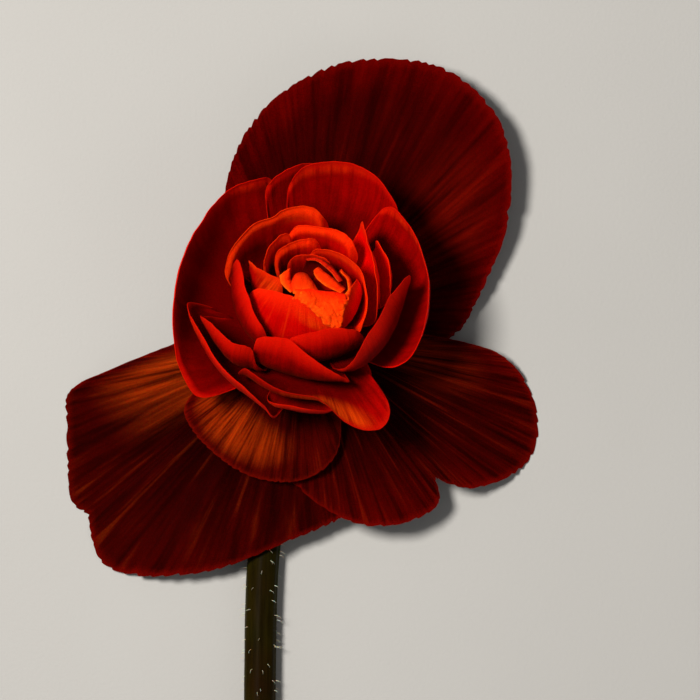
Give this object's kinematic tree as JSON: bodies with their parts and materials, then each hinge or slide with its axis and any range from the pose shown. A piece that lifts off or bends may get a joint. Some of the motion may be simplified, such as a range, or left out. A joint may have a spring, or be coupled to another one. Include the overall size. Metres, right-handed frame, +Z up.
{
  "type": "begonia flower",
  "caption": "Double rose-form bloom with a cupped globe of nested petals over broad ruffled outer tepals, on a curved fleshy cut stalk, lying face up.",
  "frame": {"origin": "centre of the bounding box's base, on the surface that the flower lies on", "axes": "+Z up out of the bloom's face and square to the surface; +Y from the stalk's cut end towards the bloom; +X to the right as the bloom is looked down on with the stalk towards the viewer"},
  "size_m": [0.0966, 0.1402, 0.0403],
  "materials": {
    "tepal": "satin, velvety deep red with fine ridges",
    "petal": "satin scarlet with orange rims",
    "heart": "satin orange red, crinkled",
    "stalk": "satin olive green with sparse pale hairs"
  },
  "bodies": {
    "root": {"flower_stalk": "stalk", "outer_tepal_top": "tepal", "outer_tepal_left": "tepal", "outer_tepal_right": "tepal", "lower_front_petal": "tepal", "cup_petal_left": "petal", "cup_petal_top_left": "petal", "cup_petal_top_right": "petal", "cup_petal_right": "petal", "cup_petal_lower_left": "petal", "cup_petal_bottom": "petal", "tongue_petal": "petal", "inner_petal_lower_left": "petal", "front_lip_petal": "petal", "right_front_petal": "petal", "back_petal_left": "petal", "left_front_petal": "petal", "right_outer_blade": "petal", "right_inner_blade": "petal", "front_centre_petal": "petal", "back_petal_right": "petal", "front_dome_petal": "petal", "left_back_petal": "petal", "back_inner_petal_left": "petal", "back_inner_petal_right": "petal", "spiral_petal": "petal", "inner_petal_right": "petal", "back_innermost_petal": "petal", "heart_petal_right": "heart", "heart_petal_lip": "heart", "heart_petal_left": "heart", "heart_petal_back": "heart", "heart_petal_hood": "heart", "heart_petal_blade": "heart"}
  },
  "joints": []
}
